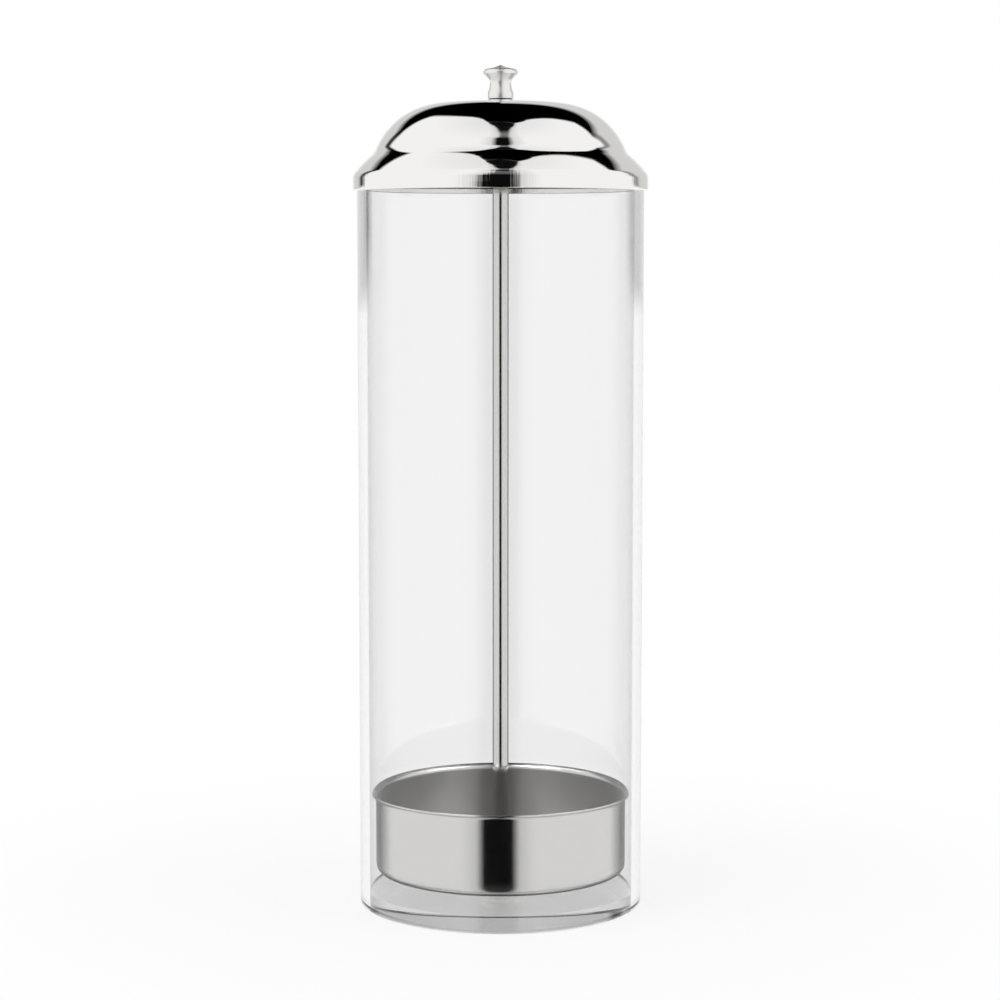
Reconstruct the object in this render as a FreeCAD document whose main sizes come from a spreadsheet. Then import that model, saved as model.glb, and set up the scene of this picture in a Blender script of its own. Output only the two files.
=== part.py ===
"""Lift-out straw dispenser: a clear tube on a clear base disc, and a steel dome lid whose centre rod
carries a cup. Lifting the knob raises the lid, the rod and the cup together.

Frame: millimetres, +Z up, origin at the centre of the underside. Every piece is drawn from its own
lowest face at z = 0 and placed at its height on the common axis.
"""
import FreeCAD, Part
import math
import os
import re

import Sketcher

doc = FreeCAD.newDocument("straw_dispenser")

# Driving dimensions, millimetres and degrees
SIZES = {
    # Clear tube and the disc bonded flush into its foot
    "tube_outer_diameter": 90.0,
    "tube_wall": 3.0,
    "tube_length": 231.4,
    "tube_edge_chamfer": 0.4,
    "base_thickness": 5.0,
    "glue_gap": 0.05,
    # Spun lid: skirt, shoulder, cone, cove, flank, corner and crown, from the edge to the middle
    "lid_sheet": 0.7,
    "lid_edge_chamfer": 0.2,
    "lid_seat_gap": 0.3,
    "skirt_clearance": 0.65,
    "skirt_depth": 3.95,
    "shoulder_radius": 3.25,
    "cone_slope": 44.8,
    "cone_run": 7.75,
    "cove_radius": 3.6,
    "flank_slope": 65.5,
    "flank_run": 0.55,
    "corner_radius": 23.9,
    "crown_radius": 117.5,
    "crown_seat_margin": 0.25,
    # Turned knob, from its foot to its tip
    "knob_foot_diameter": 8.0,
    "knob_foot_land": 2.0,
    "knob_flare_radius": 5.5,
    "knob_waist_diameter": 6.7,
    "knob_waist_length": 0.25,
    "knob_trumpet_radius": 2.0,
    "knob_trumpet_lean": 45.0,
    "knob_brim_diameter": 10.8,
    "knob_brim_land": 0.45,
    "knob_brim_round": 1.2,
    "knob_cap_diameter": 9.4,
    "knob_cap_height": 9.15,
    "knob_cap_hollow_radius": 20.0,
    "knob_tip_diameter": 0.9,
    "knob_tip_drop": 0.1,
    "knob_height": 10.4,
    "knob_edge_chamfer": 0.15,
    "knob_bore_depth": 7.0,
    "drill_point_angle": 118.0,
    # Rod with a thread at each end
    "rod_diameter": 5.0,
    "thread_diameter": 4.8,
    "thread_gap": 0.05,
    "thread_overrun": 1.5,
    "rod_end_chamfer": 0.4,
    "rod_end_gap": 0.5,
    "rod_protrusion": 0.5,
    "foot_clearance": 0.6,
    "hole_gap": 0.15,
    # Nuts and washers
    "nut_across_flats": 8.0,
    "nut_thickness": 4.0,
    "thin_nut_thickness": 2.7,
    "nut_face_inset": 0.15,
    "nut_chamfer_angle": 30.0,
    "washer_diameter": 10.0,
    "washer_thickness": 1.0,
    "washer_edge_chamfer": 0.15,
    "lock_washer_diameter": 9.2,
    "lock_washer_thickness": 1.2,
    "lock_washer_slit": 0.7,
    "lock_washer_slant": 25.0,
    "cup_washer_diameter": 15.0,
    "cup_washer_thickness": 1.2,
    "knob_washer_diameter": 7.1,
    "knob_washer_thickness": 0.6,
    # Drawn cup with a flared lip
    "cup_sheet": 0.6,
    "cup_depth": 26.1,
    "cup_corner_radius": 3.5,
    "cup_bore_clearance": 0.9,
    "lip_bend_radius": 1.2,
    "lip_edge_chamfer": 0.15,
}

# Sizes and heights that follow from them
LAYOUT = {
    "tube_radius": "tube_outer_diameter / 2",
    "tube_bore_radius": "tube_radius - tube_wall",
    "thread_radius": "thread_diameter / 2",
    "thread_bore_radius": "thread_radius + thread_gap",
    "hole_radius": "thread_radius + hole_gap",
    # Lid, measured from the lower edge of its skirt
    "lid_radius": "tube_radius + skirt_clearance + lid_sheet",
    "shoulder_centre_radius": "lid_radius - shoulder_radius",
    "shoulder_inner_radius": "shoulder_radius - lid_sheet",
    # The tube's rim meets the shoulder's bend if it reaches far enough out, or else the cone
    "seat_reach": "tube_radius - shoulder_centre_radius",
    "seat_on_bend": "sqrt(abs(shoulder_inner_radius^2 - seat_reach^2))",
    "seat_on_cone": "(shoulder_inner_radius - seat_reach * sin(cone_slope)) / cos(cone_slope)",
    "seat_height": "skirt_depth + (seat_reach > shoulder_inner_radius * sin(cone_slope)"
                   " ? seat_on_bend : seat_on_cone)",
    "corner_centre_radius": "shoulder_centre_radius + (shoulder_radius + cove_radius) * sin(cone_slope)"
                            " - (cove_radius + corner_radius) * sin(flank_slope)"
                            " - cone_run * cos(cone_slope) - flank_run * cos(flank_slope)",
    "corner_centre_height": "skirt_depth + (shoulder_radius + cove_radius) * cos(cone_slope)"
                            " - (cove_radius + corner_radius) * cos(flank_slope)"
                            " + cone_run * sin(cone_slope) + flank_run * sin(flank_slope)",
    "crown_flat_radius": "washer_diameter / 2 + crown_seat_margin",
    "crown_join_slope": "asin((corner_centre_radius - crown_flat_radius)"
                        " / (crown_radius - corner_radius))",
    "lid_height": "corner_centre_height + crown_radius"
                  " - (crown_radius - corner_radius) * cos(crown_join_slope)",
    # Stack at the crown, from the seat of the lid on the tube
    "lid_level": "tube_length + lid_seat_gap - seat_height",
    "crown_level": "lid_level + lid_height",
    "backing_washer_level": "crown_level - lid_sheet - washer_thickness",
    "lock_washer_level": "backing_washer_level - lock_washer_thickness",
    "lid_nut_level": "lock_washer_level - nut_thickness",
    "knob_level": "crown_level + knob_washer_thickness",
    # Stack at the floor of the cup, up from the base disc
    "rod_level": "base_thickness + foot_clearance",
    "lower_nut_level": "rod_level + rod_protrusion",
    "lower_washer_level": "lower_nut_level + thin_nut_thickness",
    "cup_level": "lower_washer_level + cup_washer_thickness",
    "upper_washer_level": "cup_level + cup_sheet",
    "upper_nut_level": "upper_washer_level + cup_washer_thickness",
    # Rod, measured from its lower end
    "rod_length": "knob_level + knob_bore_depth - rod_end_gap - rod_level",
    "lower_thread_length": "upper_nut_level + nut_thickness + thread_overrun - rod_level",
    "upper_thread_start": "lid_nut_level - thread_overrun - rod_level",
    # Cup
    "lip_radius": "tube_bore_radius - cup_bore_clearance",
    "cup_outer_radius": "lip_radius - lip_bend_radius",
    "cup_inner_radius": "cup_outer_radius - cup_sheet",
    "lip_bend_height": "cup_depth - cup_sheet - lip_bend_radius",
    # Knob, measured from its foot
    "knob_waist_height": "knob_foot_land + sqrt(knob_flare_radius^2"
                         " - (knob_flare_radius - (knob_foot_diameter - knob_waist_diameter) / 2)^2)",
    "knob_trumpet_height": "knob_waist_height + knob_waist_length",
    "knob_cone_radius": "knob_waist_diameter / 2 + knob_trumpet_radius * (1 - cos(knob_trumpet_lean))",
    "knob_cone_height": "knob_trumpet_height + knob_trumpet_radius * sin(knob_trumpet_lean)",
    "knob_brim_height": "knob_cone_height"
                        " + (knob_brim_diameter / 2 - knob_cone_radius) / tan(knob_trumpet_lean)",
    "knob_tip_round": "((knob_tip_diameter / 2)^2 + knob_tip_drop^2) / (2 * knob_tip_drop)",
    "drill_point_depth": "thread_bore_radius / tan(drill_point_angle / 2)",
    # Nut corners
    "nut_corner_radius": "nut_across_flats / sqrt(3)",
    "nut_face_radius": "nut_across_flats / 2 - nut_face_inset",
    "nut_chamfer_radius": "nut_corner_radius + nut_face_inset",
    "nut_chamfer_drop": "(nut_chamfer_radius - nut_face_radius) * tan(nut_chamfer_angle)",
}


def formula(text):
    """The text as an expression, with the sheet's name before each of its aliases."""
    def full_name(word):
        name = word.group()
        if name in SIZES:
            return "Sizes." + name
        return "Layout." + name if name in LAYOUT else name
    return re.sub(r"[a-z_]+", full_name, str(text))


def fill_sheets():
    """One sheet holds the driving dimensions, the other what follows from them."""
    sizes = doc.addObject("Spreadsheet::Sheet", "Sizes")
    layout = doc.addObject("Spreadsheet::Sheet", "Layout")
    for row, (alias, value) in enumerate(SIZES.items(), start=1):
        sizes.set(f"A{row}", alias)
        sizes.set(f"B{row}", str(value))
        sizes.setAlias(f"B{row}", alias)
    for row, (alias, text) in enumerate(LAYOUT.items(), start=1):
        layout.set(f"A{row}", alias)
        layout.setAlias(f"B{row}", alias)
        layout.set(f"B{row}", "=" + formula(text).replace("Layout.", ""))
    doc.recompute()
    return layout


sheet = fill_sheets()


def value(text):
    """The number that a formula gives now."""
    return float(sheet.evalExpression(formula(text).replace("Layout.", "")))


# Bodies, sketches and their dimensions


def new_body(name, level="0"):
    """A body named for its piece, raised to its level on the common axis."""
    body = doc.addObject("PartDesign::Body", name)
    body.Label = name
    body.setExpression("Placement.Base.z", formula(level))
    return body


def new_sketch(body, name, role):
    """A sketch on one of the body's own origin planes."""
    sketch = body.newObject("Sketcher::SketchObject", name)
    plane = next(item for item in body.Origin.OriginFeatures if item.Role == role)
    sketch.AttachmentSupport = [(plane, "")]
    sketch.MapMode = "FlatFace"
    return sketch


def dimension(sketch, kind, where, text):
    """A driving dimension tied to the sheets."""
    amount = value(text)
    number = math.radians(amount) if kind == "Angle" else amount
    index = sketch.addConstraint(Sketcher.Constraint(kind, *where, number))
    sketch.setExpression(f"Constraints[{index}]", formula(text))


def place_point(sketch, geometry, end, across, up):
    """Ties a point to the sketch's axes, or to a distance from each of them."""
    origin = (-1, 1)
    vertical_axis = -2
    horizontal_axis = -1
    if across == "0":
        sketch.addConstraint(Sketcher.Constraint("PointOnObject", geometry, end, vertical_axis))
    else:
        dimension(sketch, "DistanceX", (*origin, geometry, end), across)
    if up == "0":
        sketch.addConstraint(Sketcher.Constraint("PointOnObject", geometry, end, horizontal_axis))
    else:
        dimension(sketch, "DistanceY", (*origin, geometry, end), up)


def vector(across, up):
    return FreeCAD.Vector(across, up, 0)


def arc_between(start, stop, radius, side):
    """The shorter arc from start to stop, with its centre to the left or the right of the way."""
    chord = stop - start
    left = vector(-chord.y, chord.x).normalize()
    reach = math.sqrt(max(radius**2 - chord.Length**2 / 4, 0))
    centre = (start + stop) / 2 + left * (reach if side == "left" else -reach)
    first, last = (start, stop) if side == "left" else (stop, start)
    circle = Part.Circle(centre, vector(0, 0) + FreeCAD.Vector(0, 0, 1), radius)
    return Part.ArcOfCircle(circle, circle.parameter(first), circle.parameter(last))


def outline(body, name, role, corners):
    """A closed outline through corners given as formulas. A third item makes the side that leaves the
    corner an arc, with its radius and the side of the way on which its centre lies."""
    sketch = new_sketch(body, name, role)
    points = [vector(value(corner[0]), value(corner[1])) for corner in corners]
    starts = []
    ends = []
    for index, corner in enumerate(corners):
        start = points[index]
        stop = points[(index + 1) % len(points)]
        if len(corner) == 2:
            sketch.addGeometry(Part.LineSegment(start, stop), False)
            starts.append(1)
            ends.append(2)
            continue
        radius, side = corner[2]
        sketch.addGeometry(arc_between(start, stop, value(radius), side), False)
        starts.append(1 if side == "left" else 2)
        ends.append(2 if side == "left" else 1)
    for index, corner in enumerate(corners):
        place_point(sketch, index, starts[index], corner[0], corner[1])
        following = (index + 1) % len(corners)
        joint = Sketcher.Constraint("Coincident", index, ends[index], following, starts[following])
        sketch.addConstraint(joint)
        if len(corner) == 3:
            dimension(sketch, "Radius", (index,), corner[2][0])
    return sketch


def ring_sketch(body, name, radii):
    """Circles about the axis, on the body's ground plane."""
    sketch = new_sketch(body, name, "XY_Plane")
    for index, radius in enumerate(radii):
        circle = Part.Circle(vector(0, 0), FreeCAD.Vector(0, 0, 1), value(radius))
        sketch.addGeometry(circle, False)
        sketch.addConstraint(Sketcher.Constraint("Coincident", index, 3, -1, 1))
        dimension(sketch, "Radius", (index,), radius)
    return sketch


# Features


def pad(body, sketch, length):
    feature = body.newObject("PartDesign::Pad", sketch.Name + "_pad")
    feature.Profile = sketch
    feature.setExpression("Length", formula(length))
    sketch.Visibility = False
    doc.recompute()
    return feature


def turn(body, sketch, kind="PartDesign::Revolution"):
    """A full revolution of a half section about the upright axis, or a groove made the same way."""
    feature = body.newObject(kind, sketch.Name + "_turn")
    feature.Profile = sketch
    feature.ReferenceAxis = (sketch, ["V_Axis"])
    feature.Angle = 360.0
    sketch.Visibility = False
    doc.recompute()
    return feature


def circular_edges(shape, radius, height):
    """Names of the circular edges about the axis with this radius at this height."""
    names = []
    for index, edge in enumerate(shape.Edges, start=1):
        if edge.Degenerated or not isinstance(edge.Curve, Part.Circle):
            continue
        here = edge.Curve.Center.z
        if math.isclose(edge.Curve.Radius, radius, abs_tol=1e-4) and math.isclose(here, height, abs_tol=1e-4):
            names.append(f"Edge{index}")
    return names


def break_edges(body, size, circles):
    """A chamfer on the circles given as pairs of formulas, radius and height."""
    base = body.Tip
    names = []
    for radius, height in circles:
        names += circular_edges(base.Shape, value(radius), value(height))
    if len(names) < len(circles):
        raise RuntimeError(f"{body.Label}: {len(names)} of {len(circles)} edges found")
    feature = body.newObject("PartDesign::Chamfer", body.Name + "_chamfer")
    feature.Base = (base, names)
    feature.setExpression("Size", formula(size))
    doc.recompute()
    return feature


# Tube and base disc


def make_body_tube():
    """Extruded clear tube with both outer edges broken by a small chamfer."""
    body = new_body("body_tube")
    pad(body, ring_sketch(body, "tube_section", ["tube_radius", "tube_bore_radius"]), "tube_length")
    edges = [("tube_radius", "0"), ("tube_radius", "tube_length"), ("tube_bore_radius", "tube_length")]
    break_edges(body, "tube_edge_chamfer", edges)
    return body


def make_base_disc():
    """Clear disc bonded into the foot of the tube, flush with its end."""
    body = new_body("base_disc")
    pad(body, ring_sketch(body, "disc_outline", ["tube_bore_radius - glue_gap"]), "base_thickness")
    return body


# Dome lid


def lid_outline(body, name, inset):
    """Half section of the lid's outside, or of its hollow when it is inset by the sheet, walked from the
    skirt's edge to the middle of the crown. Every side runs on tangent from the one before, so the spun
    sheet has no crease. The inset is taken from the bends round the hollow and added to the cove."""
    sketch = new_sketch(body, name, "XZ_Plane")
    mouth_radius = f"lid_radius - {inset}"
    bends = {
        "shoulder": f"shoulder_radius - {inset}",
        "cove": f"cove_radius + {inset}",
        "corner": f"corner_radius - {inset}",
        "crown": f"crown_radius - {inset}",
    }
    spot = vector(value(mouth_radius), 0)
    heading = 90.0

    def straight(run):
        nonlocal spot
        ahead = vector(math.cos(math.radians(heading)), math.sin(math.radians(heading)))
        sketch.addGeometry(Part.LineSegment(spot, spot + ahead * value(run)), False)
        spot = spot + ahead * value(run)

    def bend(radius, new_heading):
        nonlocal spot, heading
        side = 1 if new_heading > heading else -1
        turned = math.radians(heading + 90 * side)
        centre = spot + vector(math.cos(turned), math.sin(turned)) * value(radius)
        away = math.radians(new_heading - 90 * side)
        stop = centre + vector(math.cos(away), math.sin(away)) * value(radius)
        sketch.addGeometry(arc_between(spot, stop, value(radius), "left" if side > 0 else "right"), False)
        spot = stop
        heading = new_heading

    straight("skirt_depth")
    bend(bends["shoulder"], 180 - value("cone_slope"))
    straight("cone_run")
    bend(bends["cove"], 180 - value("flank_slope"))
    straight("flank_run")
    bend(bends["corner"], 180 - value("crown_join_slope"))
    bend(bends["crown"], 180.0)
    straight("crown_flat_radius")
    middle = spot
    sketch.addGeometry(Part.LineSegment(middle, vector(0, 0)), False)
    sketch.addGeometry(Part.LineSegment(vector(0, 0), vector(value(mouth_radius), 0)), False)

    skirt, shoulder, cone, cove, flank, corner, crown, flat, axis, mouth = range(10)
    ends = {
        skirt: (1, 2), shoulder: (1, 2), cone: (1, 2), cove: (2, 1), flank: (1, 2),
        corner: (1, 2), crown: (1, 2), flat: (1, 2), axis: (1, 2), mouth: (1, 2),
    }
    for side in range(skirt, flat):
        joint = (side, ends[side][1], side + 1, ends[side + 1][0])
        sketch.addConstraint(Sketcher.Constraint("Tangent", *joint))
    for side, following in ((flat, axis), (axis, mouth), (mouth, skirt)):
        joint = (side, ends[side][1], following, ends[following][0])
        sketch.addConstraint(Sketcher.Constraint("Coincident", *joint))
    sketch.addConstraint(Sketcher.Constraint("Vertical", skirt))
    sketch.addConstraint(Sketcher.Constraint("Horizontal", flat))
    sketch.addConstraint(Sketcher.Constraint("Coincident", axis, 2, -1, 1))
    sketch.addConstraint(Sketcher.Constraint("PointOnObject", flat, 2, -2))
    sketch.addConstraint(Sketcher.Constraint("PointOnObject", skirt, 1, -1))
    dimension(sketch, "DistanceX", (-1, 1, skirt, 1), mouth_radius)
    dimension(sketch, "Distance", (skirt,), "skirt_depth")
    dimension(sketch, "Radius", (shoulder,), bends["shoulder"])
    dimension(sketch, "Angle", (cone,), "180 - cone_slope")
    dimension(sketch, "Distance", (cone,), "cone_run")
    dimension(sketch, "Radius", (cove,), bends["cove"])
    dimension(sketch, "Angle", (flank,), "180 - flank_slope")
    dimension(sketch, "Distance", (flank,), "flank_run")
    dimension(sketch, "Radius", (corner,), bends["corner"])
    dimension(sketch, "Radius", (crown,), bends["crown"])
    dimension(sketch, "Distance", (flat,), "crown_flat_radius")
    return sketch


def make_dome_lid():
    """Spun lid: the turned outside is hollowed to an even sheet, then pierced for the rod."""
    body = new_body("dome_lid", "lid_level")
    turn(body, lid_outline(body, "lid_outside", "0"))
    turn(body, lid_outline(body, "lid_hollow", "lid_sheet"), "PartDesign::Groove")
    sketch = ring_sketch(body, "lid_hole", ["hole_radius"])
    hole = body.newObject("PartDesign::Pocket", "lid_hole_cut")
    hole.Profile = sketch
    hole.Type = "ThroughAll"
    hole.Reversed = True
    sketch.Visibility = False
    doc.recompute()
    break_edges(body, "lid_edge_chamfer", [("lid_radius", "0"), ("lid_radius - lid_sheet", "0")])
    return body


# Knob


def make_lid_knob():
    """Turned knob: foot, waist, trumpet, brim and a hollow-sided cap, with a blind tapped bore."""
    body = new_body("lid_knob", "knob_level")
    foot = "knob_foot_diameter / 2"
    waist = "knob_waist_diameter / 2"
    corners = [
        ("thread_bore_radius", "0"),
        (foot, "0"),
        (foot, "knob_foot_land", ("knob_flare_radius", "right")),
        (waist, "knob_waist_height"),
        (waist, "knob_trumpet_height", ("knob_trumpet_radius", "right")),
        ("knob_cone_radius", "knob_cone_height"),
        ("knob_brim_diameter / 2", "knob_brim_height"),
        ("knob_brim_diameter / 2", "knob_brim_height + knob_brim_land", ("knob_brim_round", "left")),
        ("knob_cap_diameter / 2", "knob_cap_height", ("knob_cap_hollow_radius", "right")),
        ("knob_tip_diameter / 2", "knob_height - knob_tip_drop", ("knob_tip_round", "left")),
        ("0", "knob_height"),
        ("0", "knob_bore_depth + drill_point_depth"),
        ("thread_bore_radius", "knob_bore_depth"),
    ]
    turn(body, outline(body, "knob_section", "XZ_Plane", corners))
    break_edges(body, "knob_edge_chamfer", [(foot, "0")])
    return body


# Rod


def make_centre_rod():
    """Plain rod, turned down where each end is threaded, with broken ends."""
    body = new_body("centre_rod", "rod_level")
    corners = [
        ("0", "0"),
        ("thread_radius - rod_end_chamfer", "0"),
        ("thread_radius", "rod_end_chamfer"),
        ("thread_radius", "lower_thread_length"),
        ("rod_diameter / 2", "lower_thread_length"),
        ("rod_diameter / 2", "upper_thread_start"),
        ("thread_radius", "upper_thread_start"),
        ("thread_radius", "rod_length - rod_end_chamfer"),
        ("thread_radius - rod_end_chamfer", "rod_length"),
        ("0", "rod_length"),
    ]
    turn(body, outline(body, "rod_section", "XZ_Plane", corners))
    return body


# Cup


def make_straw_cup():
    """Drawn cup: flat floor pierced for the rod, rounded foot, straight wall and a lip flared outwards."""
    body = new_body("straw_cup", "cup_level")
    corners = [
        ("hole_radius", "0"),
        ("cup_outer_radius - cup_corner_radius", "0", ("cup_corner_radius", "left")),
        ("cup_outer_radius", "cup_corner_radius"),
        ("cup_outer_radius", "lip_bend_height", ("lip_bend_radius", "right")),
        ("lip_radius", "cup_depth - cup_sheet"),
        ("lip_radius", "cup_depth", ("lip_bend_radius + cup_sheet", "left")),
        ("cup_inner_radius", "lip_bend_height"),
        ("cup_inner_radius", "cup_corner_radius", ("cup_corner_radius - cup_sheet", "right")),
        ("cup_outer_radius - cup_corner_radius", "cup_sheet"),
        ("hole_radius", "cup_sheet"),
    ]
    turn(body, outline(body, "cup_section", "XZ_Plane", corners))
    break_edges(body, "lip_edge_chamfer", [("lip_radius", "cup_depth - cup_sheet"), ("lip_radius", "cup_depth")])
    return body


# Fasteners


def make_washer(name, level, diameter, thickness):
    """Flat washer with its outer edges broken by a chamfer."""
    body = new_body(name, level)
    radius = f"{diameter} / 2"
    pad(body, ring_sketch(body, name + "_section", [radius, "hole_radius"]), thickness)
    break_edges(body, "washer_edge_chamfer", [(radius, "0"), (radius, thickness)])
    return body


def make_lock_washer():
    """Split spring washer, shown closed under load, with its slanted slit."""
    body = new_body("lid_lock_washer", "lock_washer_level")
    radii = ["lock_washer_diameter / 2", "hole_radius"]
    pad(body, ring_sketch(body, "lock_washer_section", radii), "lock_washer_thickness")
    half = "lock_washer_slit / 2"
    lean = "lock_washer_thickness * tan(lock_washer_slant) / 2"
    corners = [
        (f"-({half}) - {lean}", "0"),
        (f"{half} - {lean}", "0"),
        (f"{half} + {lean}", "lock_washer_thickness"),
        (f"-({half}) + {lean}", "lock_washer_thickness"),
    ]
    sketch = outline(body, "lock_washer_slit", "XZ_Plane", corners)
    slit = body.newObject("PartDesign::Pocket", "lock_washer_cut")
    slit.Profile = sketch
    slit.setExpression("Length", formula("lock_washer_diameter"))
    sketch.Visibility = False
    doc.recompute()
    return body


def make_nut(name, level, thickness):
    """Hexagon nut, its corners turned back on both faces."""
    body = new_body(name, level)
    sketch = new_sketch(body, name + "_section", "XY_Plane")
    radius = value("nut_corner_radius")
    angles = [math.pi * k / 3 for k in range(6)]
    corners = [vector(radius * math.cos(angle), radius * math.sin(angle)) for angle in angles]
    for k in range(6):
        sketch.addGeometry(Part.LineSegment(corners[k], corners[(k + 1) % 6]), False)
    guide = sketch.addGeometry(Part.Circle(vector(0, 0), FreeCAD.Vector(0, 0, 1), radius), True)
    bore_radius = value("thread_bore_radius")
    bore = sketch.addGeometry(Part.Circle(vector(0, 0), FreeCAD.Vector(0, 0, 1), bore_radius), False)
    for k in range(6):
        sketch.addConstraint(Sketcher.Constraint("Coincident", k, 2, (k + 1) % 6, 1))
        sketch.addConstraint(Sketcher.Constraint("PointOnObject", k, 1, guide))
    for k in range(1, 6):
        sketch.addConstraint(Sketcher.Constraint("Equal", 0, k))
    for circle in (guide, bore):
        sketch.addConstraint(Sketcher.Constraint("Coincident", circle, 3, -1, 1))
    sketch.addConstraint(Sketcher.Constraint("PointOnObject", 0, 1, -1))
    dimension(sketch, "Radius", (guide,), "nut_corner_radius")
    dimension(sketch, "Radius", (bore,), "thread_bore_radius")
    pad(body, sketch, thickness)
    faces = {"upper": (thickness, f"{thickness} - nut_chamfer_drop"), "lower": ("0", "nut_chamfer_drop")}
    for face, (level_at_face, level_at_corner) in faces.items():
        corner = [
            ("nut_face_radius", level_at_face),
            ("nut_chamfer_radius", level_at_face),
            ("nut_chamfer_radius", level_at_corner),
        ]
        turn(body, outline(body, f"{name}_{face}_corner", "XZ_Plane", corner), "PartDesign::Groove")
    return body


# Assembly, check and export

bodies = [
    make_body_tube(),
    make_base_disc(),
    make_dome_lid(),
    make_lid_knob(),
    make_washer("knob_seat_washer", "crown_level", "knob_washer_diameter", "knob_washer_thickness"),
    make_washer("lid_backing_washer", "backing_washer_level", "washer_diameter", "washer_thickness"),
    make_lock_washer(),
    make_nut("lid_nut", "lid_nut_level", "nut_thickness"),
    make_centre_rod(),
    make_straw_cup(),
    make_nut("cup_upper_nut", "upper_nut_level", "nut_thickness"),
    make_washer("cup_upper_washer", "upper_washer_level", "cup_washer_diameter", "cup_washer_thickness"),
    make_washer("cup_lower_washer", "lower_washer_level", "cup_washer_diameter", "cup_washer_thickness"),
    make_nut("cup_lower_nut", "lower_nut_level", "thin_nut_thickness"),
]
doc.recompute()

for item in doc.Objects:
    if "Invalid" in item.State or "Error" in item.State:
        raise RuntimeError(f"{item.Name}: {item.State}")
for body in bodies:
    if body.Shape.isNull() or not body.Shape.isValid() or len(body.Shape.Solids) != 1:
        raise RuntimeError(f"{body.Label}: not one valid solid")

os.makedirs("parts", exist_ok=True)
for body in bodies:
    body.Shape.exportStep(f"parts/{body.Label}.step")
    box = body.Shape.BoundBox
    print(f"{body.Label:20s} z {box.ZMin:8.3f} to {box.ZMax:8.3f}  across {box.XLength:7.3f}"
          f"  volume {body.Shape.Volume:10.2f}")
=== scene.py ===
"""Looks of a lift-out straw dispenser: a clear acrylic tube, a polished steel lid with a turned knob, and
the rod and satin cup that rise with it.

Every piece is a section turned about the upright axis. The frame gives where each one stands, and the
properties below give the sizes and colours that a user would change.
"""

import bmesh
import bpy
import numpy as np
from bpy.props import FloatProperty, FloatVectorProperty, PointerProperty
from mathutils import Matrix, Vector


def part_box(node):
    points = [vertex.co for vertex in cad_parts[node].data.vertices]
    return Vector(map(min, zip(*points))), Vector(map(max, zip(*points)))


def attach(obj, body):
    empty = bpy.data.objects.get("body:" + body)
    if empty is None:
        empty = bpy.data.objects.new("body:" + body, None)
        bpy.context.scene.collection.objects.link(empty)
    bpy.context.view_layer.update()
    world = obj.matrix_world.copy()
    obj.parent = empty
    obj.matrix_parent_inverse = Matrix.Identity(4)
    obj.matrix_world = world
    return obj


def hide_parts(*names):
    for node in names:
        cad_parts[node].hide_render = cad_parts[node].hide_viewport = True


bl_info = {
    "name": "Straw dispenser",
    "version": (1, 0, 0),
    "blender": (4, 5, 0),
    "location": "3D View > Sidebar > Straw dispenser",
    "description": "Builds the dressed straw dispenser around its CAD frame",
    "category": "Add Mesh",
}

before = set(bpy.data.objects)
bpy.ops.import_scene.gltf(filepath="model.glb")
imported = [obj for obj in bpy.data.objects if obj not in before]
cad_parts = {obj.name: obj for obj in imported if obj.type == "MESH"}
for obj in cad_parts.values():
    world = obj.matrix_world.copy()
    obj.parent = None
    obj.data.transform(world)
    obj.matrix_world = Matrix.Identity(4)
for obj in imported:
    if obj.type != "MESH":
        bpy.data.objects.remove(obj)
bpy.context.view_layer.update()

MM = 0.001

# Steps around the axis. The clear pieces have the most, because their edges show as lines
CLEAR_AROUND = 512
CUP_AROUND = 384
LID_AROUND = 272
KNOB_AROUND = 256
SMALL_AROUND = 96

# Points nearer than these are one point of a section, and one corner of a mesh
SAME_POINT = 1e-8
SAME_CORNER = 1e-7


def level(node):
    """Lowest and highest level of a node, in metres."""
    low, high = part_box(node)
    return low.z, high.z


def radius(node):
    """Largest radius of a node about the upright axis, in metres."""
    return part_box(node)[1].x


def linear(colour):
    """An sRGB hex colour as linear red, green, blue and alpha: a line below 0.04 and a power above it."""
    parts = np.array([int(colour[i:i + 2], 16) for i in (1, 3, 5)]) / 255
    light = np.where(parts <= 0.04045, parts / 12.92, ((parts + 0.055) / 1.055) ** 2.4)
    return (*light.tolist(), 1.0)


# Sizes and colours


def length(name, description, millimetres):
    """A size in metres, shown in the file's own units."""
    return FloatProperty(name=name, description=description, default=millimetres * MM, min=0.0,
                         unit="LENGTH", precision=5)


def angle(name, description, degrees):
    """An angle in radians, shown in degrees."""
    return FloatProperty(name=name, description=description, default=float(np.radians(degrees)),
                         subtype="ANGLE")


def colour(name, description, code):
    """A colour given as an sRGB hex code."""
    return FloatVectorProperty(name=name, description=description, default=linear(code), size=4, min=0.0,
                               max=1.0, subtype="COLOR")


class ClearBodySettings(bpy.types.PropertyGroup):
    wall: length("Wall", "Thickness of the clear tube's wall", 3.0)
    edge_chamfer: length("Edge chamfer", "Flame polished chamfer on the tube's edges", 0.4)
    glue_gap: length("Glue gap", "Clear gap round the disc that the cement leaves", 0.05)
    tube_smoke: FloatProperty(name="Tube smoke", default=3.0,
                              description="Density that takes light in the tube, per metre")
    disc_smoke: FloatProperty(name="Disc smoke", default=2.0,
                              description="Density that takes light in the disc, per metre")
    tint: colour("Acrylic tint", "Colour that light takes on at each surface of the acrylic", "#FAFAFA")


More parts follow.
